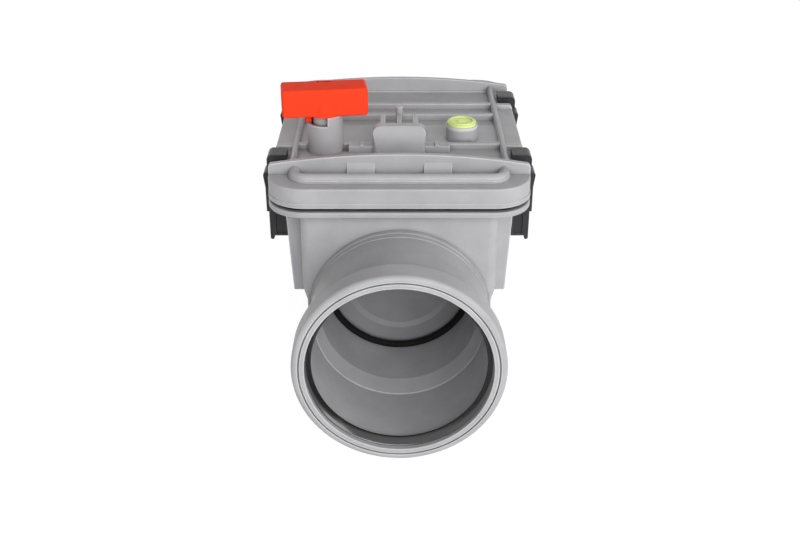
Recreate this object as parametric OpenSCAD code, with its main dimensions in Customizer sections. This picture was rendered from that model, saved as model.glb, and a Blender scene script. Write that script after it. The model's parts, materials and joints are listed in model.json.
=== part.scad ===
// Backwater valve for a buried or exposed drain pipe.
// +Y is the way the water flows, +Z is up and the origin lies on the pipe axis where an inserted pipe stops.

/* [Pipe] */
// Outside diameter of the drain pipe
pipe_d = 110; // [104:0.5:116]
// Radial clearance of the pipe in the socket
socket_clearance = 0.2; // [0.1:0.05:0.4]
// Depth of the socket from its mouth to the pipe stop
socket_depth = 57; // [48:1:70]
// Wall of the outlet spigot
pipe_wall = 2.7; // [2.2:0.1:3.4]
// Length of the outlet spigot behind the chamber
spigot_length = 66; // [50:1:90]
// How much smaller the clear way is than the pipe, on the radius
way_step = 3.5; // [3:0.1:6]

/* [Inlet socket] */
// Wall of the socket neck
socket_wall = 2.8; // [2.4:0.1:3.4]
// Height of the bead over the neck
bead_height = 7; // [6:0.5:8]
// Radius of the rounded front of the bead
bead_round = 2.6; // [2:0.1:3.5]
// How much wider the mouth is than the socket bore, on the radius
mouth_lead = 1.8; // [1:0.1:2.5]
// Depth of the mouth in front of the seal groove
mouth_depth = 3.5; // [3:0.5:4]
// Width of the seal groove along the pipe
seal_width = 7; // [6.5:0.5:8]
// Depth of the seal groove into the bead
seal_depth = 4; // [3.5:0.1:4.5]
// Height of each of the two steps of the collar at the chamber
collar_step = 0.4; // [0.2:0.1:1]
// Length of that collar
collar_length = 9.6; // [6:0.2:12]

/* [Chamber] */
// How far the chamber's upper box stands out beside the trough
box_step = 8.1; // [7:0.1:11]
// How far the chamber's narrower ends stand out beside the trough
end_step = 3.1; // [2.5:0.1:4]
// Outside length of the chamber
chamber_l = 195; // [185:1:215]
// Distance of the chamber's front wall behind the pipe stop
chamber_front = 17; // [16:0.5:22]
// Wall of the chamber
chamber_wall = 2.7; // [2.5:0.1:3.5]
// Corner radius of the chamber's ends
chamber_corner = 6; // [5:0.5:8]
// Height of the upper box's underside over the pipe axis
box_floor = 12; // [8:0.5:18]
// Height of the feet under the trough
foot_h = 6.1; // [3:0.1:14]
// Width of a foot
foot_w = 80; // [60:1:96]
// Length of a foot along the flow
foot_l = 14; // [10:1:22]
// Distance of the feet from the chamber's ends
foot_inset = 40; // [30:1:55]

/* [Cover] */
// How far cover and flange stand out beside the chamber
cover_side = 15; // [14:0.5:18]
// How far cover and flange stand out in front of and behind the chamber
cover_overhang = 10.5; // [9:0.5:14]
// Corner radius of cover and flange
cover_corner = 24; // [20:1:30]
// Height of the flange's top over the flap hinge
headroom = 11.3; // [10.5:0.1:15]
// Thickness of the flange
flange_t = 4.1; // [3.5:0.1:5]
// Thickness of the clamped gasket
gasket_t = 2.8; // [2:0.1:4]
// Width of the gasket
gasket_w = 6; // [5:0.5:8]
// Height of the cover's skirt
skirt_h = 12.7; // [11:0.1:15]
// Thickness of the cover's deck
deck_t = 3.5; // [3:0.1:4.5]
// Depth of the sunk floors in the deck
sunk_depth = 1.5; // [0.8:0.1:2]
// Rounding of the cover's upper edge
cover_round = 1; // [0.6:0.1:2]
// Thickness of the two arched lips
lip_t = 3.5; // [3:0.1:5]
// Distance of a lip from the cover's end
lip_inset = 25; // [22:0.5:30]
// Height of a lip over the deck at its ends
lip_end_h = 6.8; // [5:0.1:9]
// Height of a lip over the deck in its middle
lip_mid_h = 13; // [10:0.1:15]
// How much lower the back lip is than the front lip
back_lip_drop = 2.8; // [0:0.1:3]
// Distance of the rounded ridge from the cover's end
ridge_inset = 9; // [6:0.5:10]
// Width of the rounded ridge
ridge_w = 7.5; // [6:0.5:9]
// Height of the rounded ridge
ridge_h = 5.2; // [4.5:0.1:6]
// Distance of a long rib's middle from the cover's side
rib_inset = 14; // [13:0.5:16]
// Height of the long ribs
rib_h = 4; // [2.8:0.1:5]
// Thickness of the ribs
rib_t = 4; // [3:0.1:5]
// Height of the two cross ribs at the back
cross_rib_h = 2.7; // [2:0.1:4]
// Height of the cross rib at the front
front_rib_h = 2.4; // [1.5:0.1:4]

/* [Flap] */
// Distance of the flap seat behind the pipe stop
seat_y = 53; // [48:1:58]
// How much smaller the flap is than the seat tube, on the radius
flap_margin = 1.5; // [1:0.1:2.5]
// Thickness of the flap disc
flap_t = 3.5; // [3:0.1:5]
// Wall of the frame that carries the flap
frame_wall = 2.6; // [2.4:0.1:4]
// Height of the flap hinge over the seat tube
hinge_rise = 9.8; // [9.3:0.1:11]
// Diameter of the flap hinge pin
hinge_pin_d = 6; // [5:0.5:7]
// Gap between the resting flap and its seat
seat_gap = 0.3; // [0.2:0.05:0.5]

/* [Lock] */
// Distance of the lock shaft to the left of the middle
lock_x = 49; // [47:0.5:52]
// Distance of the lock shaft behind the flap hinge
lock_behind = 13; // [12.5:0.5:15]
// Diameter of the lock shaft
shaft_d = 10; // [9:0.5:11]
// Wall of the tower round the shaft
tower_wall = 2.2; // [1.8:0.1:2.6]
// Height of the tower over the deck
tower_h = 24.4; // [20:0.1:28]
// Length of the handle
handle_l = 56; // [45:1:70]
// Depth of the handle from front to back
handle_w = 20.5; // [20:0.5:22]
// Height of the handle
handle_h = 18.5; // [15:0.5:24]
// Turn of the resting handle away from straight across
handle_yaw = 7; // [0:1:10]

/* [Test plug] */
// Distance of the test plug to the right of the middle
plug_x = 42.3; // [38:0.5:46]
// Distance of the test plug behind the pipe stop
plug_y = 93.6; // [92:0.5:112]
// Outside diameter of the plug's boss
boss_d = 21.4; // [20:0.2:24]
// Height of the boss over the deck
boss_h = 10.7; // [8:0.1:14]

/* [Latches] */
// Distance of each latch from the middle of the cover along the flow
latch_offset = 57; // [52:1:62]
// Width of a latch strap
strap_w = 13; // [12:0.5:15]
// Thickness of a latch strap
strap_t = 4.2; // [3.5:0.1:5]
// Thickness of the two strap legs beside the lever
leg_t = 2.1; // [1.8:0.1:2.6]
// Distance between the lever's two pivots
latch_throw = 8; // [7.5:0.1:8.5]
// Height of the lever below its upper pivot
lever_h = 31; // [26:0.5:36]
// Diameter of the lever's pivot pin
pivot_pin_d = 3.5; // [3:0.1:4]
// Diameter of the pin that joins strap and lever
link_pin_d = 3; // [2.6:0.1:3.4]

/* [Fits] */
// Gap between latch pieces and what they pass
latch_gap = 0.4; // [0.3:0.05:0.6]
// Gap between the flap frame and the trough
frame_gap = 0.4; // [0.3:0.05:0.8]
// Gap between the tower's wall and the shaft's sleeve
tower_gap = 1.65; // [1.5:0.05:2]
// Radial clearance of a turning pin
pin_clearance = 0.05; // [0.03:0.01:0.09]
// Gap under and between pieces that move past each other
move_gap = 0.3; // [0.2:0.05:0.5]

/* [Hidden] */
$fn = 96;

grey = [0.62, 0.62, 0.63];
pale_grey = [0.70, 0.70, 0.71];
black = [0.10, 0.10, 0.10];
charcoal = [0.22, 0.22, 0.23];
red = [0.95, 0.24, 0.12];
lime = [0.74, 0.88, 0.38];
steel = [0.75, 0.76, 0.78];
cut = 1;

// Pipe ends
pipe_r = pipe_d / 2;
socket_r = pipe_r + socket_clearance;
neck_r = socket_r + socket_wall;
bead_r = neck_r + bead_height;
mouth_r = socket_r + mouth_lead;
groove_r = socket_r + seal_depth;
mouth_y = -socket_depth;
groove_y = mouth_y + mouth_depth;
groove_end = groove_y + seal_width;
bead_tail = 5.5;
bead_slope = 8.5;
bead_end = groove_end + bead_tail;
rim_groove_w = 1;
rim_groove_in = 3;
rim_groove_depth = 1.2;
way_r = pipe_r - way_step;
tube_r = way_r + chamber_wall;
stop_step = 0.5;
shoulder_length = 13;
collar_r = neck_r + 2 * collar_step;
spigot_collar_h = 6;
spigot_collar_l = 6;
spigot_collar_face = 1.5;
spigot_bevel = 1.6;
spigot_bevel_l = 6.4;
lip_squeeze = 0.1;
lip_front_gap = 0.4;
lip_crest = 3.5;
lip_crest_w = 2;
lip_heel = 1.5;

// Chamber
frame_r = tube_r + frame_wall;
trough_cavity_r = frame_r + frame_gap;
trough_r = trough_cavity_r + chamber_wall;
axis_height = trough_r + foot_h;
chamber_w = 2 * (trough_r + box_step);
end_w = 2 * (trough_r + end_step);
end_slope = 8.3;
chamber_end = chamber_front + chamber_l;
middle_y = chamber_front + chamber_l / 2;
cavity_w = chamber_w - 2 * chamber_wall;
cavity_front = chamber_front + chamber_wall;
cavity_end = chamber_end - chamber_wall;
panel_inset = 21;
panel_front = chamber_front + panel_inset;
panel_end = chamber_end - panel_inset;
panel_foot_z = 4;
panel_step = 2.7;
panel_low_w = chamber_w + 2 * panel_step;
panel_lean = 3.6;
panel_top_w = panel_low_w + 2 * panel_lean;

// Cover
hinge_z = tube_r + hinge_rise;
cover_w = chamber_w + 2 * cover_side;
flange_top = hinge_z + headroom;
flange_bottom = flange_top - flange_t;
flange_round = 1.2;
cover_front = chamber_front - cover_overhang;
cover_end = chamber_end + cover_overhang;
cover_base = flange_top + gasket_t;
deck_z = cover_base + skirt_h;
deck_under = deck_z - deck_t;
under_rim = 12;
skirt_foot_h = 3;
skirt_step = 0.4;
gasket_inset = 3.5;
lip_corner = 3;
lip_corner_lift = 0.1;
lip_end_x = cover_w / 2 - skirt_step - lip_corner;
back_lip_end_drop = 2.1;
lip_front = cover_front + lip_inset;
lip_back = lip_front + lip_t;
back_lip_front = 2 * middle_y - lip_back;
pad_in = 15.5;
pad_w = 17.5;
pad_depth = 2.4;
pad_h = 7.6;
ridge_front = cover_front + ridge_inset;
ridge_bend = 12;
rib_span = cover_w - 2 * rib_inset;
ridge_over = 0.6;
ridge_half = rib_span / 2 + ridge_over;
ridge_shoulder = 0.4;
front_rib_place = 60;
middle_rib_place = 116;
back_rib_place = 139;
plateau_gap = 14.5;
front_rib = chamber_front + front_rib_place;
middle_rib = chamber_front + middle_rib_place;
back_rib = chamber_front + back_rib_place;
plateau_end = middle_rib - plateau_gap;
guard_t = 4.8;
guard_h = 3;
guard_inset = 0.6;
guard_gap = 8.2;
hump_w = 35;
hump_h = 16.3;
hump_t = 10;
hump_step = 8;
hump_front = front_rib - hump_step;
hump_corner = 5;
hump_edge = 3;
hump_lean = 4;
hump_brow_r = (hump_h * hump_h + hump_lean * hump_lean) / (2 * hump_lean);
fin_t = 3.2;
fin_length = 26;
fin_slope = 3;
fin_drop = 0.4;
post_d = 5;
post_h = 17;
post_gap = 3;
post_y = hump_front + hump_t + fin_length + post_gap + post_d / 2;
tab_inner_w = 6.2;
tab_rib_w = 2.4;
tab_rib_rise = 1;
tab_w = 16;
tab_back_h = 3;
tab_front_h = 2.6;
tab_set = 2.5;

// Flap
seal_t = 4;
seal_lap = 4;
seal_slope = 1.5;
seal_in_r = way_r - seal_lap;
frame_l = 10;
frame_start = seat_y - frame_l;
frame_end = seat_y + seal_t;
flap_r = tube_r - flap_margin;
flap_face = frame_end + seat_gap;
flap_back = flap_face + flap_t;
hinge_back = 3.2;
hinge_y = flap_back + hinge_back;
hinge_r = hinge_pin_d / 2;
knuckle_wall = 2.5;
knuckle_r = hinge_r + knuckle_wall;
ear_wall = 3.5;
ear_r = hinge_r + ear_wall;
ear_in = 27;
ear_t = 5;
pin_end = 1;
ear_foot = 20;
ear_chin = 10;
ear_back = 8;
ear_top = 2;
knuckle_in = 10;
knuckle_gap = 0.5;
knuckle_out = ear_in - knuckle_gap;
arm_t = 3.5;
arm_back = flap_back + arm_t;
arm_foot = 12;
arm_below = 8;
arm_flare = 20;
tail_w = 6.5;
tail_h = 4;
tail_over = 1;
screw_x = 8;
screw_low_z = -8;
screw_high_z = 25;
screw_r = 1.6;
screw_skin = 1.2;
screw_head_r = 3.2;
screw_head_h = 2;
hex_r = 1.4;
rim_inset = 4;
rim_w = 3;
rim_out_r = flap_r - rim_inset;
rim_in_r = rim_out_r - rim_w;
rim_h = 2.5;
flap_dish_rim = 15;
flap_dish_r = flap_r - flap_dish_rim;
flap_dish_slope = 4;
flap_dish_depth = 1;

// Lock
lock_y = hinge_y + lock_behind;
lock_travel = 83;
shaft_r = shaft_d / 2;
shaft_bore_r = shaft_r + pin_clearance;
sleeve_wall = 3;
sleeve_r = shaft_r + sleeve_wall;
tower_r = sleeve_r + tower_gap + tower_wall;
tower_top = deck_z + tower_h;
sleeve_drop = 1.2;
sleeve_bottom = cover_base - sleeve_drop;
finger_t = 4;
finger_top = sleeve_bottom - move_gap;
finger_bottom = finger_top - finger_t;
finger_w = 8;
finger_length = lock_x - knuckle_out + tail_w;
finger_hub_wall = 3;
finger_hub_r = shaft_r + finger_hub_wall;
tail_top = finger_bottom - move_gap;
clip_t = 1.4;
clip_groove = 1;
clip_rim = 2;
shaft_tip = 1.2;
notch_depth = 6;
notch_turn = 12;
notch_lap = 4;
handle_bottom = tower_top + move_gap;
handle_top = handle_bottom + handle_h;
handle_roof = 4;
hub_bulge = 2.2;
hub_fade = 15.5;
handle_corner = 2.5;
handle_edge = 1.6;
handle_notch_w = 9;
handle_notch_h = 4;
handle_notch_in = 4.2;
handle_notch_wall = 1;
lug_r = tower_r - tower_wall / 2;
lug_size = 3.6;
grub_r = 2;
grub_sunk = 1;
grub_hex_r = 1.1;
grub_hex_depth = 1.5;
seal_groove_rise = 6;
seal_groove_z = deck_z + seal_groove_rise;
seal_groove_h = 2.4;
seal_groove_depth = 1.5;

// Test plug
boss_r = boss_d / 2;
boss_top = deck_z + boss_h;
boss_rim = 1;
plug_head_r = boss_r - boss_rim;
plug_head_gap = 0.2;
plug_head_sunk = 2;
plug_head_h = 4.4;
plug_step_h = 0.8;
plug_step_w = 1.2;
plug_ring_w = 1.2;
plug_ring_depth = 1;
plug_grip_l = 7;
plug_grip_w = 5.2;
plug_grip_corner = 2;
plug_bore_r = 8;
plug_stem_gap = 0.2;
plug_stem_r = plug_bore_r - plug_stem_gap;
plug_stem_l = 12;
plug_seal_z = 4;
plug_seal_h = 2.5;
plug_seal_depth = 1.6;
plug_seal_proud = 0.1;

// Latches
latch_y = middle_y - latch_offset;
strap_in = cover_w / 2 + latch_gap;
strap_out = strap_in + strap_t;
strap_lean = 1.1;
pivot_inset = 3.5;
pivot_drop = 6.2;
pivot_x = cover_w / 2 - pivot_inset;
pivot_z = flange_bottom - pivot_drop;
over_centre = 0.5;
link_x = pivot_x - over_centre;
link_z = pivot_z - latch_throw;
lever_w = strap_w - 2 * leg_t - 2 * latch_gap;
panel_gap = 0.6;
lever_over = 3.5;
lever_neck = 1.5;
lever_in = panel_top_w / 2 + panel_gap;
lever_out = cover_w / 2 + lever_over;
lever_top = link_z - lever_neck;
lever_bottom = pivot_z - lever_h;
lever_tail = 2.7;
lever_knuckle_r = 3.6;
cheek_rim = 1.4;
cheek_depth = 1.2;
pivot_r = pivot_pin_d / 2;
link_r = link_pin_d / 2;
strap_foot_r = 3;
strap_foot_drop = 1.3;
strap_bottom = link_z - strap_foot_drop;
strap_window_h = 16;
strap_window = link_z + strap_window_h;
hook_t = 4.8;
hook_bottom = deck_z + move_gap;
hook_top = hook_bottom + hook_t;
hook_gap = 2;
hook_in = rib_span / 2 + rib_t / 2 + hook_gap;
hook_set = 1.8;
hook_out = strap_out - hook_set;
hook_neck = 3.4;
hook_neck_in = hook_out - hook_neck;
hook_round = 3.6;
shoulder_round = 2.5;
shoulder_drop = 7;
neck_lap = 3.5;
shoulder_z = deck_z - shoulder_drop;
neck_foot = shoulder_z - neck_lap;
lug_in = strap_w / 2 + latch_gap;
lug_t = 3;

// A rounded rectangle seen from above
module plan(width, front, back, corner) {
    straight = width - 2 * corner;
    translate([-straight / 2, front]) square([straight, back - front]);
    translate([-width / 2, front + corner]) square([width, back - front - 2 * corner]);
    for (x = [-straight / 2, straight / 2], y = [front + corner, back - corner])
        translate([x, y]) circle(corner);
}

// That rectangle as a plate between two heights
module slab(width, front, back, corner, bottom, top) {
    translate([0, 0, bottom]) linear_extrude(top - bottom) plan(width, front, back, corner);
}

// That plate with a shaped rim: the children draw the rim's outline from a corner's middle outwards
module rimmed_plate(width, front, back, corner, bottom, top) {
    half = width / 2 - corner;
    translate([-half, front + corner, bottom]) cube([2 * half, back - front - 2 * corner, top - bottom]);
    both_sides() along_y(front + corner, back - corner) translate([half, 0]) children();
    both_ends() {
        along_x(-half, half) translate([back - corner, 0]) children();
        both_sides() translate([half, back - corner, 0]) rotate_extrude(angle = 90) children();
    }
}

// A rectangle whose upper right corner is rounded
module eased(left, right, bottom, top, round) {
    intersection() {
        translate([left, bottom]) square([right - left, top - bottom]);
        union() {
            translate([left, bottom]) square([right - round - left, top - bottom]);
            translate([left, bottom]) square([right - left, top - round - bottom]);
            translate([right - round, top - round]) circle(round);
        }
    }
}

// An outline in X and Z drawn out along the flow
module along_y(front, back) {
    translate([0, back, 0]) rotate([90, 0, 0]) linear_extrude(back - front) children();
}

// An outline in Y and Z drawn out across the flow
module along_x(left, right) {
    translate([left, 0, 0]) rotate([90, 0, 90]) linear_extrude(right - left) children();
}

// An outline of radius and Y turned about the pipe axis
module turned() {
    rotate([-90, 0, 0]) rotate_extrude() children();
}

// A round bar across the flow or along it
module bar_x(radius, left, right, y, z) {
    along_x(left, right) translate([y, z]) circle(radius);
}

module bar_y(radius, front, back, x, z) {
    along_y(front, back) translate([x, z]) circle(radius);
}

// A copy on the other side of the valve's middle plane
module both_sides() {
    children();
    mirror([1, 0, 0]) children();
}

// The other end of the cover, and a copy at both ends
module at_back() {
    translate([0, 2 * middle_y, 0]) mirror([0, 1, 0]) children();
}

module both_ends() {
    children();
    at_back() children();
}

// One of the four latch places: side is -1 or 1, end is -1 at the front and 1 at the back
module at_latch(side, end) {
    translate([0, middle_y + end * latch_offset, 0])
        if (side < 0) mirror([1, 0, 0]) children();
        else children();
}

// Chamber: a box with a rounded trough below, the flange for the cover and the ears for the latches
module chamber() {
    color(grey) difference() {
        union() {
            chamber_ends();
            along_y(panel_front, panel_end) box_outline(chamber_w, box_floor, flange_bottom + cut);
            along_y(chamber_front, chamber_end) trough_outline(trough_r, box_floor + cut);
            rimmed_plate(cover_w, cover_front, cover_end, cover_corner, flange_bottom, flange_top)
                flange_outline();
            both_sides() side_panel();
            for (side = [-1, 1], end = [-1, 1]) at_latch(side, end) latch_ears();
            both_ends() foot();
        }
        slab(end_w - 2 * chamber_wall, cavity_front, cavity_end, chamber_corner - chamber_wall,
            box_floor + end_slope / 2, flange_top + cut);
        along_y(panel_front + chamber_wall, panel_end - chamber_wall)
            box_outline(cavity_w, box_floor + chamber_wall, flange_top + cut);
        along_y(cavity_front, cavity_end) trough_outline(trough_cavity_r, box_floor + chamber_wall + cut);
        bar_y(tube_r, chamber_front - cut, cavity_front + cut, 0, 0);
        bar_y(pipe_r, cavity_end - cut, chamber_end + cut, 0, 0);
    }
}

// Rim of the flange, rounded above and below
module flange_outline() {
    translate([0, flange_bottom]) square([cover_corner - flange_round, flange_t]);
    translate([0, flange_bottom + flange_round]) square([cover_corner, flange_t - 2 * flange_round]);
    for (z = [flange_bottom + flange_round, flange_top - flange_round])
        translate([cover_corner - flange_round, z]) circle(flange_round);
}

module trough_outline(radius, top) {
    circle(radius);
    translate([-radius, 0]) square([2 * radius, top]);
}

// Thickened panel on each long side, narrower towards its foot
module side_panel() {
    along_y(panel_front, panel_end) polygon([
        [cavity_w / 2 + cut, panel_foot_z],
        [panel_low_w / 2, panel_foot_z],
        [panel_top_w / 2, flange_bottom + cut],
        [cavity_w / 2 + cut, flange_bottom + cut]
    ]);
    along_y(panel_front, panel_end)
        translate([trough_cavity_r + cut, panel_foot_z])
            square([panel_low_w / 2 - trough_cavity_r - cut, box_floor]);
}

// Two ears under the flange that hold a lever's pivot pin
module latch_ears() {
    for (y = [-lug_in - lug_t, lug_in]) along_y(y, y + lug_t) difference() {
        union() {
            translate([panel_low_w / 2, pivot_z])
                square([pivot_x - panel_low_w / 2, flange_bottom - pivot_z + cut]);
            translate([pivot_x - lever_knuckle_r, pivot_z])
                square([2 * lever_knuckle_r, flange_bottom - pivot_z + cut]);
            translate([pivot_x, pivot_z]) circle(lever_knuckle_r);
            translate([panel_low_w / 2, pivot_z - lever_knuckle_r])
                square([pivot_x - panel_low_w / 2, lever_knuckle_r]);
        }
        translate([pivot_x, pivot_z]) circle(pivot_r);
    }
}

// Upper box at its two ends, with rounded corners and an underside that slopes in to the trough
module chamber_ends() {
    intersection() {
        slab(end_w, chamber_front, chamber_end, chamber_corner, 0, flange_bottom + cut);
        along_y(chamber_front - cut, chamber_end + cut) {
            box_outline(end_w, box_floor + end_slope / 2, flange_bottom + 2 * cut);
            polygon([
                [-trough_r, box_floor - end_slope / 2], [trough_r, box_floor - end_slope / 2],
                [end_w / 2, box_floor + end_slope / 2], [-end_w / 2, box_floor + end_slope / 2]
            ]);
        }
    }
}

// Upright rectangle about the middle plane
module box_outline(width, bottom, top) {
    translate([-width / 2, bottom]) square([width, top - bottom]);
}

module foot() {
    start = chamber_front + foot_inset;
    along_y(start, start + foot_l)
        translate([-foot_w / 2, -axis_height]) square([foot_w, axis_height - trough_cavity_r / 2]);
}

// Inlet socket: bead, neck, stepped collar and the tube that carries the seat
module inlet_socket() {
    crest_y = mouth_y + bead_round;
    color(grey) turned() difference() {
        union() {
            translate([0, mouth_y]) square([bead_r - bead_round, bead_round]);
            translate([bead_r - bead_round, crest_y]) circle(bead_round);
            polygon([[0, crest_y], [bead_r, crest_y], [bead_r, bead_end], [neck_r, bead_end + bead_slope],
                [0, bead_end + bead_slope]]);
            translate([0, groove_end]) square([neck_r, chamber_front - groove_end]);
            translate([0, chamber_front - collar_length]) square([neck_r + collar_step, collar_length]);
            translate([0, chamber_front - collar_length / 2]) square([collar_r, collar_length / 2]);
            square([tube_r, seat_y]);
        }
        translate([-cut, mouth_y - cut]) square([mouth_r + cut, mouth_depth + 2 * cut]);
        translate([-cut, groove_y]) square([groove_r + cut, seal_width]);
        translate([-cut, groove_y]) square([socket_r + cut, -groove_y]);
        polygon([[-cut, -cut], [socket_r - stop_step, -cut], [socket_r - stop_step, 0],
            [way_r, shoulder_length],
            [-cut, shoulder_length]]);
        translate([-cut, shoulder_length - cut]) square([way_r + cut, seat_y - shoulder_length + 2 * cut]);
        translate([mouth_r + rim_groove_in, mouth_y - cut]) square([rim_groove_w, rim_groove_depth + cut]);
    }
}

// Outlet spigot with its collar and a bevelled end
module outlet_spigot() {
    end_y = chamber_end + spigot_length;
    bore_r = pipe_r - pipe_wall;
    rim_r = pipe_r + spigot_collar_h;
    color(grey) turned() {
        polygon([[bore_r, cavity_end], [pipe_r, cavity_end], [pipe_r, end_y - spigot_bevel_l],
            [pipe_r - spigot_bevel, end_y], [bore_r, end_y]]);
        polygon([[pipe_r - spigot_bevel, chamber_end], [rim_r, chamber_end],
            [rim_r, chamber_end + spigot_collar_face],
            [pipe_r, chamber_end + spigot_collar_l], [pipe_r - spigot_bevel, chamber_end + spigot_collar_l]]);
    }
}

// Lip seal in the groove of the socket, shown as a pipe presses it
module inlet_lip_seal() {
    lip_r = socket_r - lip_squeeze;
    color(black) turned() polygon([
        [groove_r, groove_y], [mouth_r + lip_front_gap, groove_y], [lip_r, groove_y + lip_crest],
        [lip_r, groove_y + lip_crest + lip_crest_w], [socket_r + lip_heel, groove_end], [groove_r, groove_end]
    ]);
}

// Frame on the end of the inlet tube, with the two ears of the flap hinge
module flap_frame() {
    color(pale_grey) difference() {
        union() {
            bar_y(frame_r, frame_start, frame_end, 0, 0);
            both_sides() along_x(ear_in, ear_in + ear_t) {
                polygon([
                    [frame_start, hinge_z - ear_foot], [frame_end, hinge_z - ear_foot],
                    [frame_end, hinge_z - ear_chin],
                    [hinge_y, hinge_z - ear_r], [hinge_y, hinge_z + ear_r],
                    [frame_end - ear_top, hinge_z + ear_r],
                    [frame_start, hinge_z - ear_back]
                ]);
                translate([hinge_y, hinge_z]) circle(ear_r);
            }
        }
        bar_y(tube_r, frame_start - cut, frame_end + cut, 0, 0);
        bar_x(hinge_r, -ear_in - ear_t - cut, ear_in + ear_t + cut, hinge_y, hinge_z);
    }
}

module seat_seal() {
    color(black) turned() polygon([
        [seal_in_r, seat_y + seal_t / 2], [seal_in_r + seal_slope, seat_y], [tube_r, seat_y],
        [tube_r, frame_end],
        [seal_in_r + seal_slope, frame_end]
    ]);
}

module flap_hinge_pin() {
    color(steel) bar_x(hinge_r, -ear_in - ear_t - pin_end, ear_in + ear_t + pin_end, hinge_y, hinge_z);
}

module flap_disc() {
    dish_y = flap_face + flap_dish_depth;
    color(pale_grey) difference() {
        turned() {
            polygon([[0, dish_y], [flap_dish_r - flap_dish_slope, dish_y],
                [flap_dish_r, flap_face], [flap_r, flap_face],
                [flap_r, flap_back], [0, flap_back]]);
            translate([rim_in_r, flap_back]) square([rim_w, rim_h]);
        }
        translate([-ear_in, flap_back, 0]) cube([2 * ear_in, rim_h + cut, 2 * flap_r]);
        flap_screw_places() cylinder(h = flap_t, r = screw_r);
    }
}

// The four screws stand with their heads at the back of the arm and point to the seat
module flap_screw_places() {
    for (x = [-screw_x, screw_x], z = [screw_low_z, screw_high_z])
        translate([x, flap_face + screw_skin, z]) rotate([-90, 0, 0]) children();
}

module flap_screws() {
    shank = flap_t - screw_skin + arm_t;
    color(steel) flap_screw_places() {
        cylinder(h = shank, r = screw_r);
        translate([0, 0, shank]) difference() {
            cylinder(h = screw_head_h, r = screw_head_r);
            translate([0, 0, screw_head_h / 2]) cylinder(h = screw_head_h, r = hex_r, $fn = 6);
        }
    }
}

// Hinge arm behind the disc: plate, two knuckles and the tail that the lock holds down
module flap_arm() {
    tail_end = lock_y + finger_w / 2 + tail_over;
    color(grey) difference() {
        union() {
            along_y(flap_back, arm_back) polygon([
                [-arm_foot, screw_low_z - arm_below], [arm_foot, screw_low_z - arm_below],
                [knuckle_out, hinge_z - arm_flare], [knuckle_out, hinge_z],
                [-knuckle_out, hinge_z], [-knuckle_out, hinge_z - arm_flare]
            ]);
            both_sides() bar_x(knuckle_r, knuckle_in, knuckle_out, hinge_y, hinge_z);
            along_x(-knuckle_out, -knuckle_out + tail_w) polygon([
                [hinge_y, hinge_z], [hinge_y + knuckle_r, hinge_z], [tail_end, tail_top - tail_h],
                [tail_end, tail_top], [hinge_y + tail_over, tail_top], [hinge_y - knuckle_r, hinge_z]
            ]);
        }
        bar_x(hinge_r + pin_clearance, -knuckle_out - cut, knuckle_out + cut, hinge_y, hinge_z);
        translate([-knuckle_in, flap_back - cut, hinge_z - arm_flare / 2])
            cube([2 * knuckle_in, arm_t + 2 * cut, arm_flare]);
        flap_screw_places() cylinder(h = flap_t + arm_t, r = screw_r);
    }
}

// Cover: skirt, deck, ridges, arched lips, ribs and the bosses that stand on the deck
module cover() {
    color(grey) difference() {
        union() {
            difference() {
                rimmed_plate(cover_w, cover_front, cover_end, cover_corner, cover_base, deck_z) skirt_outline();
                sunk_floor(lip_back + cut, front_rib + rib_t / 2);
                sunk_floor(plateau_end, back_lip_front - cut);
                for (side = [-1, 1], end = [-1, 1]) at_latch(side, end) latch_notch();
            }
            arched_lip(lip_mid_h, lip_end_h);
            at_back() arched_lip(lip_mid_h - back_lip_drop, lip_end_h - back_lip_end_drop);
            end_ridge();
            both_sides() lip_pad();
            both_ends() both_sides() latch_guard();
            both_sides() long_rib();
            cross_rib(front_rib, front_rib_h);
            cross_rib(middle_rib, cross_rib_h);
            cross_rib(back_rib, cross_rib_h);
            hump();
            both_sides() ribbed_tab();
            translate([-lock_x, lock_y, deck_under]) cylinder(h = deck_t + tower_h, r = tower_r);
            translate([plug_x, plug_y, deck_under]) cylinder(h = deck_t + boss_h, r = boss_r);
        }
        difference() {
            slab(cover_w - 2 * under_rim, cover_front + under_rim, cover_end - under_rim,
                cover_corner - under_rim,
                cover_base - cut, deck_under);
            translate([-lock_x, lock_y, sleeve_bottom]) cylinder(h = deck_z - sleeve_bottom, r = sleeve_r);
            translate([plug_x, plug_y, sleeve_bottom]) cylinder(h = deck_z - sleeve_bottom, r = boss_r);
        }
        tower_cuts();
        plug_cuts();
    }
    color(grey) shaft_sleeve();
}

// Rim of the cover: a skirt with a rounded upper edge and a foot that stands out a little
module skirt_outline() {
    eased(0, cover_corner - skirt_step, cover_base, deck_z, cover_round);
    translate([0, cover_base]) square([cover_corner, skirt_foot_h]);
}

// Part of the deck between the long ribs that lies a little lower
module sunk_floor(front, back) {
    slab(rib_span, front, back, sunk_depth, deck_z - sunk_depth, deck_z + cut);
}

// Room in the cover's side for the neck of a latch strap
module latch_notch() {
    translate([hook_neck_in - latch_gap, -strap_w / 2 - latch_gap, neck_foot - latch_gap])
        cube([cover_w, strap_w + 2 * latch_gap, deck_z]);
}

// The lower end of the shaft's sleeve under the cover
module shaft_sleeve() {
    translate([-lock_x, lock_y, sleeve_bottom]) difference() {
        cylinder(h = cover_base - sleeve_bottom, r = sleeve_r);
        translate([0, 0, -cut]) cylinder(h = cover_base - sleeve_bottom + 2 * cut, r = shaft_bore_r);
    }
}

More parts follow.
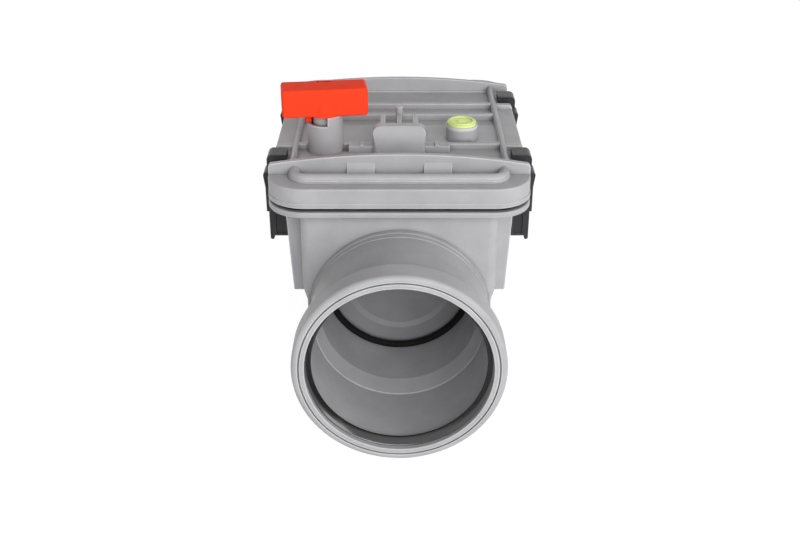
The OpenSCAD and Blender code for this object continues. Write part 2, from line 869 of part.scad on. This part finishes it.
// Ring space between tower and sleeve, the shaft bore and the quarter notch for the handle's lug
module tower_cuts() {
    translate([-lock_x, lock_y, 0]) {
        translate([0, 0, sleeve_bottom - cut])
            cylinder(h = tower_top - sleeve_bottom + 2 * cut, r = shaft_bore_r);
        translate([0, 0, tower_top - 2 * notch_depth]) difference() {
            cylinder(h = 2 * notch_depth + cut, r = tower_r - tower_wall);
            translate([0, 0, -cut]) cylinder(h = 2 * notch_depth + 3 * cut, r = sleeve_r);
        }
        translate([0, 0, tower_top - notch_depth]) rotate([0, 0, notch_turn]) difference() {
            translate([-2 * tower_r, -2 * tower_r, 0])
                cube([2 * tower_r, 2 * tower_r + notch_lap, 2 * notch_depth]);
            translate([0, 0, -cut]) cylinder(h = 3 * notch_depth, r = sleeve_r);
        }
    }
}

module plug_cuts() {
    translate([plug_x, plug_y, 0]) {
        translate([0, 0, sleeve_bottom - cut]) cylinder(h = boss_top, r = plug_bore_r);
        translate([0, 0, boss_top - plug_head_sunk])
            cylinder(h = plug_head_sunk + cut, r = plug_head_r + plug_head_gap);
    }
}

// Rounded ridge across the front of the cover, bent back to the lip at both sides
module end_ridge() {
    bend_x = ridge_half - ridge_bend;
    bend_y = ridge_front + ridge_bend;
    along_x(-bend_x, bend_x) translate([ridge_front + ridge_w / 2, deck_z]) mound(ridge_w, ridge_h);
    both_sides() {
        translate([bend_x, bend_y, deck_z]) intersection() {
            rotate_extrude() translate([ridge_bend - ridge_w / 2, 0]) mound(ridge_w, ridge_h);
            translate([0, -2 * ridge_bend, -cut]) cube([2 * ridge_bend, 2 * ridge_bend, 2 * ridge_h]);
        }
        along_y(bend_y, lip_front + cut) translate([ridge_half - ridge_w / 2, deck_z]) mound(ridge_w, ridge_h);
    }
}

// Outline of a rounded ridge or rib, drawn from a little below its foot
module mound(width, height) {
    round_r = width / 2 - ridge_shoulder;
    intersection() {
        translate([-width / 2, -deck_t]) square([width, height + deck_t]);
        union() {
            translate([0, height - round_r]) circle(round_r);
            translate([-width / 2, -deck_t]) square([width, height - round_r + deck_t]);
        }
    }
}

// Lip across the cover with an arched top and rounded ends
module arched_lip(mid_h, end_h) {
    rise = mid_h - end_h;
    arch_r = (lip_end_x * lip_end_x + rise * rise) / (2 * rise);
    corner_h = end_h - lip_corner + lip_corner_lift;
    along_y(lip_front, lip_back) intersection() {
        translate([0, deck_z + mid_h - arch_r]) circle(arch_r, $fn = 720);
        union() {
            translate([-lip_end_x, deck_z - cut]) square([2 * lip_end_x, mid_h + 2 * cut]);
            translate([-cover_w / 2 + skirt_step, deck_z - cut])
                square([cover_w - 2 * skirt_step, corner_h + cut]);
            for (x = [-lip_end_x, lip_end_x]) translate([x, deck_z + corner_h]) circle(lip_corner);
        }
    }
}

// Wedge against the front of the lip, thicker towards its foot
module lip_pad() {
    along_x(pad_in, pad_in + pad_w) polygon([
        [lip_front - pad_depth, deck_z - cut], [lip_front + cut, deck_z - cut],
        [lip_front + cut, deck_z + pad_h],
        [lip_front, deck_z + pad_h]
    ]);
}

module long_rib() {
    along_y(lip_back - cut, back_lip_front + cut) translate([rib_span / 2, deck_z]) mound(rib_t, rib_h);
}

module cross_rib(y, height) {
    translate([-rib_span / 2, y, deck_under]) cube([rib_span, rib_t, deck_t + height]);
}

// Low wall beside a latch hook, with its outer top corner rounded
module latch_guard() {
    y = latch_y + strap_w / 2 + guard_gap;
    along_y(y, y + guard_t)
        eased(rib_span / 2, cover_w / 2 - guard_inset, deck_z - cut, deck_z + guard_h, lip_corner);
}

// Rounded hump in the middle with fins and a post behind it
module hump() {
    straight = hump_w - 2 * hump_corner;
    hump_back = hump_front + hump_t;
    intersection() {
        slab(hump_w, hump_front, hump_back + hump_t, hump_edge, deck_under, deck_z + hump_h);
        along_y(hump_front, hump_back) {
            eased(0, hump_w / 2, deck_under, deck_z + hump_h, hump_corner);
            mirror([1, 0]) eased(0, hump_w / 2, deck_under, deck_z + hump_h, hump_corner);
        }
        along_x(-hump_w, hump_w) {
            translate([hump_front + hump_brow_r, deck_z]) circle(hump_brow_r);
            translate([hump_front, deck_under]) square([2 * hump_t, deck_t]);
        }
    }
    for (x = [-straight / 2 + fin_t / 2, 0, straight / 2 - fin_t / 2])
        along_x(x - fin_t / 2, x + fin_t / 2) polygon([
            [hump_back - cut, deck_under], [hump_back + fin_length, deck_under],
            [hump_back + fin_length, deck_z + hump_h - fin_drop - fin_slope],
            [hump_back - cut, deck_z + hump_h - fin_drop]
        ]);
    translate([0, post_y, deck_under]) cylinder(h = deck_t + post_h, r = post_d / 2);
}

// Low ramp beside the hump with a raised rib on it
module ribbed_tab() {
    for (place = [[hump_w / 2 - hump_edge, hump_edge + tab_w, 0],
        [hump_w / 2 + tab_inner_w, tab_rib_w, tab_rib_rise]])
        along_x(place[0], place[0] + place[1]) polygon([
            [hump_front + tab_set, deck_under], [front_rib + cut, deck_under],
            [front_rib + cut, deck_z + tab_back_h + place[2]],
            [hump_front + tab_set, deck_z + tab_front_h + place[2]]
        ]);
}

module cover_gasket() {
    inset = gasket_inset + gasket_w;
    color(black) difference() {
        slab(cover_w - 2 * gasket_inset, cover_front + gasket_inset, cover_end - gasket_inset,
            cover_corner - gasket_inset, flange_top, cover_base);
        slab(cover_w - 2 * inset, cover_front + inset, cover_end - inset, cover_corner - inset,
            flange_top - cut, cover_base + cut);
    }
}

// The lock turns about this upright line, and its own zero points along the resting handle
module at_lock() {
    translate([-lock_x, lock_y, 0]) rotate([0, 0, handle_yaw]) children();
}

// Handle: a block with rounded edges and a hub that bulges towards its foot
module lock_handle() {
    half_w = handle_w / 2;
    color(red) at_lock() difference() {
        union() {
            intersection() {
                slab(handle_l, -half_w, half_w, handle_corner, handle_bottom, handle_top);
                along_y(-handle_w, handle_w) plan(handle_l, handle_bottom, handle_top, handle_corner);
                along_x(-handle_l, handle_l) plan(handle_w, handle_bottom, handle_top, handle_edge);
            }
            translate([0, 0, handle_bottom])
                cylinder(h = hub_fade, r1 = half_w + hub_bulge, r2 = half_w - hub_bulge / 4);
            lug();
        }
        translate([0, 0, handle_bottom - cut]) cylinder(h = handle_h - handle_roof + cut, r = shaft_r);
        translate([0, 0, (handle_bottom + handle_top) / 2]) rotate([-90, 0, 0])
            cylinder(h = handle_w, r = grub_r);
        translate([-handle_notch_w / 2, half_w - handle_notch_in, handle_top - handle_notch_h])
            cube([handle_notch_w, handle_notch_in - handle_notch_wall, 2 * handle_notch_h]);
    }
}

// Stop lug under the handle, in the tower's notch
module lug() {
    bottom = tower_top - notch_depth + move_gap;
    difference() {
        translate([-lug_r - lug_size / 2, -lug_size / 2, bottom])
            cube([lug_size, lug_size, handle_bottom + cut - bottom]);
        translate([0, 0, bottom - cut]) cylinder(h = handle_h, r = sleeve_r + move_gap);
    }
}

module lock_shaft() {
    bottom = finger_bottom - clip_t - shaft_tip;
    color(steel) at_lock() difference() {
        translate([0, 0, bottom]) cylinder(h = handle_top - handle_roof - bottom, r = shaft_r);
        shaft_groove(finger_bottom - clip_t, clip_t, clip_groove);
        shaft_groove(seal_groove_z, seal_groove_h, seal_groove_depth);
    }
}

module shaft_groove(bottom, height, depth) {
    translate([0, 0, bottom]) difference() {
        cylinder(h = height, r = shaft_r + cut);
        translate([0, 0, -cut]) cylinder(h = height + 2 * cut, r = shaft_r - depth);
    }
}

// Locking finger: rests towards the inlet and swings over the flap's tail
module lock_finger() {
    color(charcoal) translate([-lock_x, lock_y, finger_bottom]) rotate([0, 0, -lock_travel]) difference() {
        linear_extrude(finger_t) {
            circle(finger_hub_r);
            translate([0, -finger_w / 2]) square([finger_length - finger_w / 2, finger_w]);
            translate([finger_length - finger_w / 2, 0]) circle(finger_w / 2);
        }
        translate([0, 0, -cut]) cylinder(h = finger_t + 2 * cut, r = shaft_r);
    }
}

module handle_screw() {
    length = handle_w / 2 - shaft_r - grub_sunk;
    color(steel) at_lock() translate([0, shaft_r, (handle_bottom + handle_top) / 2])
        rotate([-90, 0, 0]) difference() {
        cylinder(h = length, r = grub_r);
        translate([0, 0, length - grub_hex_depth]) cylinder(h = 2 * grub_hex_depth, r = grub_hex_r, $fn = 6);
    }
}

module shaft_seal() {
    color(black) at_lock() translate([0, 0, seal_groove_z]) difference() {
        cylinder(h = seal_groove_h, r = shaft_r);
        translate([0, 0, -cut]) cylinder(h = seal_groove_h + 2 * cut, r = shaft_r - seal_groove_depth);
    }
}

module shaft_clip() {
    color(steel) at_lock() translate([0, 0, finger_bottom - clip_t]) linear_extrude(clip_t) difference() {
        circle(shaft_r + clip_rim);
        circle(shaft_r - clip_groove);
        translate([0, -shaft_r / 2]) square([2 * shaft_r, shaft_r]);
    }
}

// Test plug: a round head with a raised ring and a grip recess, on a short stem
module test_plug() {
    ring_r = plug_head_r - plug_step_w - plug_ring_w;
    color(lime) translate([plug_x, plug_y, boss_top - plug_head_sunk]) difference() {
        union() {
            cylinder(h = plug_head_h - plug_step_h, r = plug_head_r);
            cylinder(h = plug_head_h, r = plug_head_r - plug_step_w);
            translate([0, 0, -plug_stem_l]) cylinder(h = plug_stem_l + cut, r = plug_stem_r);
        }
        translate([0, 0, plug_head_h - plug_ring_depth]) linear_extrude(2 * plug_ring_depth) difference() {
            circle(ring_r);
            plan(plug_grip_l, -plug_grip_w / 2, plug_grip_w / 2, plug_grip_corner);
        }
        translate([0, 0, -plug_stem_l]) plug_seal_ring();
    }
}

module plug_seal_ring() {
    translate([0, 0, plug_seal_z]) difference() {
        cylinder(h = plug_seal_h, r = plug_stem_r + plug_seal_proud);
        translate([0, 0, -cut]) cylinder(h = plug_seal_h + 2 * cut, r = plug_stem_r - plug_seal_depth);
    }
}

module plug_seal() {
    color(black) translate([plug_x, plug_y, boss_top - plug_head_sunk - plug_stem_l]) plug_seal_ring();
}

// Latch lever: knuckle under the flange, grip below with recessed cheeks and a tail on the outer edge
module latch_lever() {
    color(charcoal) difference() {
        along_y(-lever_w / 2, lever_w / 2) {
            translate([pivot_x, pivot_z]) circle(lever_knuckle_r);
            translate([pivot_x - lever_knuckle_r, lever_top - cut])
                square([2 * lever_knuckle_r, pivot_z - lever_top + cut]);
            translate([lever_in, lever_bottom + lever_tail])
                square([lever_out - lever_in, lever_top - lever_bottom - lever_tail]);
            translate([lever_out - lever_tail, lever_bottom + lever_tail / 2]) square([lever_tail, lever_tail]);
            translate([lever_out - lever_tail / 2, lever_bottom + lever_tail / 2]) circle(lever_tail / 2);
        }
        bar_y(pivot_r + pin_clearance, -lever_w, lever_w, pivot_x, pivot_z);
        bar_y(link_r, -lever_w, lever_w, link_x, link_z);
        both_cheeks() translate([lever_in + cheek_rim, lever_bottom + lever_tail + cheek_rim])
            square([lever_out - lever_tail - lever_in - 2 * cheek_rim,
                lever_top - lever_bottom - lever_tail - 3 * cheek_rim]);
    }
}

// An outline sunk into both side faces of a lever
module both_cheeks() {
    for (y = [-lever_w / 2, lever_w / 2]) along_y(y - cheek_depth, y + cheek_depth) children();
}

// Latch strap: hook over the cover, neck in the cover's notch, plate and two legs down to the link pin
module latch_strap() {
    leg_in = strap_w / 2 - leg_t;
    shoulder_out = strap_out + strap_lean;
    color(charcoal) {
        along_y(-strap_w / 2, strap_w / 2) {
            polygon([
                [strap_in, strap_window], [strap_out, strap_window],
                [shoulder_out, shoulder_z - shoulder_round],
                [shoulder_out - shoulder_round, shoulder_z], [strap_in, shoulder_z]
            ]);
            translate([shoulder_out - shoulder_round, shoulder_z - shoulder_round]) circle(shoulder_round);
            translate([hook_neck_in, neck_foot]) square([hook_neck, hook_top - hook_round - neck_foot]);
            eased(hook_in, hook_out, hook_bottom, hook_top, hook_round);
        }
        for (y = [-strap_w / 2, leg_in]) along_y(y, y + leg_t) difference() {
            union() {
                translate([strap_in, strap_bottom]) square([strap_t, strap_window - strap_bottom + cut]);
                translate([link_x, strap_bottom])
                    square([strap_in - link_x + cut, strap_foot_r + strap_foot_drop]);
                translate([link_x, link_z]) circle(strap_foot_r);
            }
            translate([link_x, link_z]) circle(link_r + pin_clearance);
        }
    }
}

module latch_pin() {
    color(steel) bar_y(link_r, -strap_w / 2, strap_w / 2, link_x, link_z);
}

module latch_pivot_pins() {
    color(steel) for (side = [-1, 1], end = [-1, 1])
        at_latch(side, end) bar_y(pivot_r, -lug_in - lug_t, lug_in + lug_t, pivot_x, pivot_z);
}

chamber();
inlet_socket();
outlet_spigot();
inlet_lip_seal();
flap_frame();
seat_seal();
flap_hinge_pin();
flap_disc();
flap_arm();
flap_screws();
cover();
cover_gasket();
lock_handle();
lock_shaft();
lock_finger();
handle_screw();
shaft_seal();
shaft_clip();
test_plug();
plug_seal();
latch_pivot_pins();
at_latch(-1, -1) latch_lever();  // latch_lever_front_left
at_latch(1, -1) latch_lever();  // latch_lever_front_right
at_latch(-1, 1) latch_lever();  // latch_lever_back_left
at_latch(1, 1) latch_lever();  // latch_lever_back_right
at_latch(-1, -1) latch_strap();  // latch_strap_front_left
at_latch(1, -1) latch_strap();  // latch_strap_front_right
at_latch(-1, 1) latch_strap();  // latch_strap_back_left
at_latch(1, 1) latch_strap();  // latch_strap_back_right
at_latch(-1, -1) latch_pin();  // latch_pin_front_left
at_latch(1, -1) latch_pin();  // latch_pin_front_right
at_latch(-1, 1) latch_pin();  // latch_pin_back_left
at_latch(1, 1) latch_pin();  // latch_pin_back_right
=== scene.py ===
"""Looks of the backwater valve: finishes, soft inlet seal, studio light and camera around the frame."""
import json
import math

import bpy
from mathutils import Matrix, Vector

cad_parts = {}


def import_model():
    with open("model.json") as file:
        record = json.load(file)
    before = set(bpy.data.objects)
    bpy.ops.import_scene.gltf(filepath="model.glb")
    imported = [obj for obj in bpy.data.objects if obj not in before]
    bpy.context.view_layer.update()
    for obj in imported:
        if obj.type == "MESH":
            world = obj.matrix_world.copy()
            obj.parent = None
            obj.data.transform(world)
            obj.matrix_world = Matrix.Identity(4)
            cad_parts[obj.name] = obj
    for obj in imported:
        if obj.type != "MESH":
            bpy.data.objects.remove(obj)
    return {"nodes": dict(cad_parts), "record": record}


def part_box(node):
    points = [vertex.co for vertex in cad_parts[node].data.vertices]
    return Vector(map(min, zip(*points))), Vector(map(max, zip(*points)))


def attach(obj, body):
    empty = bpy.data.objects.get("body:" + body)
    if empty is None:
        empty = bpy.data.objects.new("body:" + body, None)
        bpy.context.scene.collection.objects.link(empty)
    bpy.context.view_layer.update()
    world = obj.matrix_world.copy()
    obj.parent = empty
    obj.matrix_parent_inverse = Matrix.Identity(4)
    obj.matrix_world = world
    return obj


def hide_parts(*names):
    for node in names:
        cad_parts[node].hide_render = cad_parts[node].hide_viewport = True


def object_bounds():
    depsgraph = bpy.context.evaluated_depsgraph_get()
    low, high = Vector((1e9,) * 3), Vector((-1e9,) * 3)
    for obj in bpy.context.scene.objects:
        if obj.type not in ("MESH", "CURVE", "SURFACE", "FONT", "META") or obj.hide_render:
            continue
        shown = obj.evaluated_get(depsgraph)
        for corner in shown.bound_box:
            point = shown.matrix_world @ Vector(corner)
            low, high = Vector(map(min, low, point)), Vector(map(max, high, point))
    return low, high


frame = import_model()
cad_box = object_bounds()

MM = 0.001

# Photograph and camera, fitted to the pipe socket's two rims
PHOTO_WIDTH = 800
FOCAL_PIXELS = 1060
CENTRE_SHIFT_PIXELS = 0.7
CAMERA_PLACE = (0.0, -0.5859, 0.3522)
CAMERA_TILT = math.radians(27.94)
SENSOR = 36.0

# Colours as sRGB shares of one
BODY_GREY = (0.665, 0.663, 0.671)
# The inner grey is the body grey painted darker: painted shade on the parts inside the pipe
SHADED_INNER_GREY = (0.515, 0.515, 0.522)
RUBBER_BLACK = (0.075, 0.075, 0.078)
CLIP_CHARCOAL = (0.2, 0.2, 0.207)
HANDLE_RED = (0.98, 0.265, 0.15)
PLUG_LIME = (0.89, 0.955, 0.6)
STEEL_GREY = (0.72, 0.73, 0.75)
FLOOR_WHITE = (0.97, 0.97, 0.97)
WHITE = (1.0, 1.0, 1.0, 1.0)

# Noise in the finishes: waves per metre, and the range that most of its values lie in
CLOUD_WAVES = 55.0
GLOSS_WAVES = 140.0
GRAIN_WAVES = 2200.0
STEEL_TINT_WAVES = 300.0
STEEL_GLOSS_WAVES = 900.0
NOISE_RANGE = (0.3, 0.7)

# Plastic: how far roughness strays, how deep the grain's bump is, and how far the painted shade in creases
# reaches
ROUGHNESS_LESS = 0.05
ROUGHNESS_MORE = 0.07
GRAIN_STRENGTH = 0.5
PAINTED_SHADE_REACH = 5 * MM

# Painted edge highlights: their width in edge roundings, and the openness at which they are full and gone
PAINTED_HIGHLIGHT_WIDTH = 1.2
PAINTED_HIGHLIGHT_RANGE = (0.5, 0.9)

# Steel: its darkest tint and its range of roughness
STEEL_DARKEST = 0.85
STEEL_ROUGHNESS = (0.25, 0.42)

# Rays for each point of painted crease shade or painted edge highlight, and for each rounded normal
EDGE_RAYS = 8
ROUNDING_RAYS = 6

# Seal ring: steps round the pipe, and the angle up to which it shades smoothly
RING_STEPS = 160
SMOOTH_ANGLE = math.radians(38)

# Studio: even light, floor size in metres, and the floor's own white with its share in what the camera sees
AMBIENT = 0.325
FLOOR_SIZE = 30.0
FLOOR_ROUGHNESS = 0.9
FLOOR_GLOW = 1.1
FLOOR_GLOW_SHARE = 0.85

# Lamps: place, size in metres, power in watts, and whether reflections show the lamp.
# The back box lights the far side without a mirrored streak on the deck.
LAMPS = {
    "front_box": ((0.5, -1.9, 0.85), 1.5, 35.5, True),
    "left_box": ((-1.3, -0.7, 0.5), 0.8, 0.3, True),
    "right_box": ((1.3, -0.7, 0.5), 0.8, 6.0, True),
    "back_box": ((-0.5, 1.9, 0.5), 1.0, 11.0, False),
}


def linear(colour):
    """An sRGB colour as the linear RGBA that sockets take."""
    return tuple(c / 12.92 if c <= 0.04045 else ((c + 0.055) / 1.055) ** 2.4 for c in colour) + (1.0,)


def shade(colour, factor):
    """A linear colour made darker or lighter."""
    return tuple(min(1.0, c * factor) for c in colour[:3]) + (1.0,)


def new_material(name):
    """A new node material, with its node tree and its Principled shader."""
    material = bpy.data.materials.new(name)
    material.use_nodes = True
    tree = material.node_tree
    return material, tree, tree.nodes["Principled BSDF"]


def add(tree, kind, **values):
    """A node with its properties and input values set by name."""
    node = tree.nodes.new(kind)
    for key, value in values.items():
        if key in node.inputs:
            node.inputs[key].default_value = value
        else:
            setattr(node, key, value)
    return node


def noise(tree, waves, detail=3.0):
    """Noise in the object's own coordinates, with its waves per metre."""
    place = add(tree, "ShaderNodeTexCoord")
    node = add(tree, "ShaderNodeTexNoise", Scale=waves, Detail=detail)
    tree.links.new(place.outputs["Object"], node.inputs["Vector"])
    return node.outputs["Fac"]


def ramp(tree, factor, low, high):
    """A colour ramp between two linear colours over the noise's range."""
    node = add(tree, "ShaderNodeValToRGB")
    for element, place, colour in zip(node.color_ramp.elements, NOISE_RANGE, (low, high)):
        element.position = place
        element.color = colour
    tree.links.new(factor, node.inputs["Fac"])
    return node.outputs["Color"]


def spread(tree, factor, low, high, factor_range=NOISE_RANGE):
    """A factor's range mapped to a range of values."""
    node = add(tree, "ShaderNodeMapRange")
    node.inputs["From Min"].default_value, node.inputs["From Max"].default_value = factor_range
    node.inputs["To Min"].default_value = low
    node.inputs["To Max"].default_value = high
    tree.links.new(factor, node.inputs["Value"])
    return node.outputs["Result"]


def times(tree, colour, factor):
    """A colour multiplied by a factor."""
    mix = add(tree, "ShaderNodeMix", data_type="RGBA", blend_type="MULTIPLY")
    mix.inputs["Factor"].default_value = 1.0
    tree.links.new(colour, mix.inputs["A"])
    tree.links.new(factor, mix.inputs["B"])
    return mix.outputs["Result"]


def painted_crease_shade(tree, colour, depth):
    """A colour darkened in narrow creases: painted shade where shadow gathers."""
    crease_shade = add(tree, "ShaderNodeAmbientOcclusion", samples=EDGE_RAYS, Distance=PAINTED_SHADE_REACH)
    return times(tree, colour, spread(tree, crease_shade.outputs["AO"], 1 - depth, 1.0))


def painted_edge_highlight(tree, colour, width, highlight_lift):
    """A colour painted lighter along outer edges: a painted highlight where the rounding would catch the
    light.
    """
    highlight_mask = add(tree, "ShaderNodeAmbientOcclusion", samples=EDGE_RAYS, inside=True, Distance=width)
    return times(tree, colour, spread(tree, highlight_mask.outputs["AO"], 1 + highlight_lift, 1.0, PAINTED_HIGHLIGHT_RANGE))


def moulded(name, colour, roughness, variation=0.06, grain=0.04 * MM, edge=0.6 * MM, crease_shade=0.35, sheen=0.5,
            highlight_lift=0.0):
    """Moulded plastic: cloudy colour, uneven gloss, fine grain and softly rounded edges, with painted shade
    in creases and, where a lift is given, painted highlights along outer edges.
    """
    material, tree, shader = new_material(name)
    shader.inputs["Specular IOR Level"].default_value = sheen
    base = linear(colour)
    cloud = ramp(tree, noise(tree, CLOUD_WAVES), shade(base, 1 - variation), shade(base, 1 + variation))
    # Painted shade: the colour is darkened in creases, by how closed in each point is
    tint = painted_crease_shade(tree, cloud, crease_shade)
    # Painted highlight: where a lift is given, outer edges are painted lighter
    if highlight_lift:
        tint = painted_edge_highlight(tree, tint, PAINTED_HIGHLIGHT_WIDTH * edge, highlight_lift)
    tree.links.new(tint, shader.inputs["Base Color"])
    uneven = spread(tree, noise(tree, GLOSS_WAVES), roughness - ROUGHNESS_LESS, roughness + ROUGHNESS_MORE)
    tree.links.new(uneven, shader.inputs["Roughness"])
    rounded = add(tree, "ShaderNodeBevel", samples=ROUNDING_RAYS, Radius=edge)
    bump = add(tree, "ShaderNodeBump", Strength=GRAIN_STRENGTH, Distance=grain)
    tree.links.new(noise(tree, GRAIN_WAVES, detail=2.0), bump.inputs["Height"])
    tree.links.new(rounded.outputs["Normal"], bump.inputs["Normal"])
    tree.links.new(bump.outputs["Normal"], shader.inputs["Normal"])
    return material


def steel(name, colour):
    """Bright steel with an uneven tint and gloss."""
    material, tree, shader = new_material(name)
    base = linear(colour)
    shader.inputs["Metallic"].default_value = 1.0
    tint = ramp(tree, noise(tree, STEEL_TINT_WAVES), shade(base, STEEL_DARKEST), base)
    tree.links.new(tint, shader.inputs["Base Color"])
    uneven = spread(tree, noise(tree, STEEL_GLOSS_WAVES), *STEEL_ROUGHNESS)
    tree.links.new(uneven, shader.inputs["Roughness"])
    return material


# In each finish, the crease depth sets painted shade in creases, and the lift sets painted highlights on
# outer edges
finish_of_slot = {
    "grey_body": moulded("grey_body", BODY_GREY, 0.42, edge=1 * MM, crease_shade=0.5, sheen=0.3, highlight_lift=0.6),
    # The grey_inner finish is the body plastic, with painted shade given as a darker colour
    "grey_inner": moulded("grey_inner", SHADED_INNER_GREY, 0.4),
    "rubber": moulded("rubber", RUBBER_BLACK, 0.17, variation=0.2, grain=0.03 * MM, sheen=1.0),
    "charcoal": moulded("charcoal", CLIP_CHARCOAL, 0.3, variation=0.1, edge=0.8 * MM, sheen=0.2, highlight_lift=1.0),
    "red_handle": moulded("red_handle", HANDLE_RED, 0.36, variation=0.03, crease_shade=0.45, sheen=0.012),
    "lime_plug": moulded("lime_plug", PLUG_LIME, 0.32, variation=0.04, edge=0.3 * MM, sheen=0.4),
    "steel": steel("steel", STEEL_GREY),
}

# The seat seal is matt, unlike the other rubber pieces
finish_of_node = {"seat_seal": moulded("seat_rubber", RUBBER_BLACK, 0.55, variation=0.2, sheen=0.15)}

for row in frame["record"]["subparts"]:
    mesh = frame["nodes"][row["node"]].data
    mesh.materials.clear()
    mesh.materials.append(finish_of_node.get(row["node"], finish_of_slot[row["material_slot"]]))


def turned_ring(name, outline, steps):
    """A ring turned about the pipe axis from an outline of radius and place along the pipe."""
    points, faces = [], []
    count = len(outline)
    for step in range(steps):
        turn = 2 * math.pi * step / steps
        points += [(radius * math.cos(turn), along, radius * math.sin(turn)) for radius, along in outline]
        after = (step + 1) % steps
        for i in range(count):
            j = (i + 1) % count
            faces.append((step * count + i, step * count + j, after * count + j, after * count + i))
    mesh = bpy.data.meshes.new(name)
    mesh.from_pydata(points, [], faces)
    mesh.polygons.foreach_set("use_smooth", [True] * len(faces))
    mesh.set_sharp_from_angle(angle=SMOOTH_ANGLE)
    ring = bpy.data.objects.new(name, mesh)
    bpy.context.scene.collection.objects.link(ring)
    return ring


def soft_inlet_seal():
    """The inlet seal with its lip relaxed inwards, as it stands before a pipe is pushed in."""
    low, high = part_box("inlet_lip_seal")
    outer, front, back = high.x, low.y, high.y
    # Millimetres inwards from the groove's floor, and behind the front or, for the heel, before the back
    front_face = [(0.0, 0.2), (2.4, 0.2), (2.7, 0.4)]
    lip_face = [(4.0, 2.2), (5.5, 4.7)]
    lip_tip = [(5.8, 5.3), (5.7, 5.8), (5.3, 6.0), (4.8, 5.7)]
    lip_root = [(3.0, 3.5), (2.3, 4.0)]
    heel = [(2.3, 1.0), (1.6, 0.2), (0.0, 0.2)]
    lip = front_face + lip_face + lip_tip + lip_root
    outline = [(outer - inwards * MM, front + behind * MM) for inwards, behind in lip]
    outline += [(outer - inwards * MM, back - before * MM) for inwards, before in heel]
    ring = turned_ring("inlet_lip_seal_soft", outline, RING_STEPS)
    ring.data.materials.append(finish_of_slot["rubber"])
    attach(ring, "valve_body")
    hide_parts("inlet_lip_seal")


soft_inlet_seal()


def seen_rays(tree):
    """One for rays that see the background: from the camera, in a reflection or through a clear piece."""
    path = add(tree, "ShaderNodeLightPath")
    total = path.outputs["Is Camera Ray"]
    for kind in ("Is Glossy Ray", "Is Transmission Ray"):
        larger = add(tree, "ShaderNodeMath", operation="MAXIMUM")
        tree.links.new(total, larger.inputs[0])
        tree.links.new(path.outputs[kind], larger.inputs[1])
        total = larger.outputs[0]
    return total


def floor():
    """Pale floor that looks white to the camera and keeps a soft shadow."""
    bpy.ops.mesh.primitive_plane_add(size=FLOOR_SIZE, location=(0.0, 0.0, cad_box[0].z))
    plane = bpy.context.object
    plane.name = "studio_floor"
    material, tree, shader = new_material("studio_floor")
    shader.inputs["Base Color"].default_value = linear(FLOOR_WHITE)
    shader.inputs["Roughness"].default_value = FLOOR_ROUGHNESS
    white = add(tree, "ShaderNodeEmission", Color=WHITE, Strength=FLOOR_GLOW)
    seen = add(tree, "ShaderNodeMath", operation="MULTIPLY")
    seen.inputs[1].default_value = FLOOR_GLOW_SHARE
    tree.links.new(seen_rays(tree), seen.inputs[0])
    mix = add(tree, "ShaderNodeMixShader")
    tree.links.new(seen.outputs[0], mix.inputs["Fac"])
    tree.links.new(shader.outputs["BSDF"], mix.inputs[1])
    tree.links.new(white.outputs["Emission"], mix.inputs[2])
    tree.links.new(mix.outputs["Shader"], tree.nodes["Material Output"].inputs["Surface"])
    plane.data.materials.append(material)


def world(ambient):
    """Even grey studio light, seen as white by the camera, in reflections and through clear pieces."""
    studio = bpy.data.worlds.new("studio")
    bpy.context.scene.world = studio
    studio.use_nodes = True
    tree = studio.node_tree
    light = tree.nodes["Background"]
    light.inputs["Color"].default_value = WHITE
    light.inputs["Strength"].default_value = ambient
    white = add(tree, "ShaderNodeBackground", Color=WHITE)
    mix = add(tree, "ShaderNodeMixShader")
    tree.links.new(seen_rays(tree), mix.inputs["Fac"])
    tree.links.new(light.outputs["Background"], mix.inputs[1])
    tree.links.new(white.outputs["Background"], mix.inputs[2])
    tree.links.new(mix.outputs["Shader"], tree.nodes["World Output"].inputs["Surface"])


def softbox(name, target, place, size, power, mirrored):
    """A square area lamp aimed at a point, which reflections show or not."""
    data = bpy.data.lights.new(name, "AREA")
    data.size = size
    data.energy = power
    lamp = bpy.data.objects.new(name, data)
    lamp.location = place
    lamp.rotation_euler = (target - Vector(place)).to_track_quat("-Z", "Y").to_euler()
    lamp.visible_glossy = mirrored
    bpy.context.scene.collection.objects.link(lamp)


def camera():
    """The photograph's camera."""
    data = bpy.data.cameras.new("camera")
    data.sensor_width = SENSOR
    data.lens = FOCAL_PIXELS * SENSOR / PHOTO_WIDTH
    data.shift_x = CENTRE_SHIFT_PIXELS / PHOTO_WIDTH
    view = bpy.data.objects.new("camera", data)
    view.location = CAMERA_PLACE
    view.rotation_euler = (math.pi / 2 - CAMERA_TILT, 0.0, 0.0)
    bpy.context.scene.collection.objects.link(view)
    bpy.context.scene.camera = view


floor()
world(AMBIENT)
middle = (cad_box[0] + cad_box[1]) / 2
for lamp_name, lamp_values in LAMPS.items():
    softbox(lamp_name, middle, *lamp_values)
camera()
bpy.context.scene.view_settings.view_transform = "Standard"
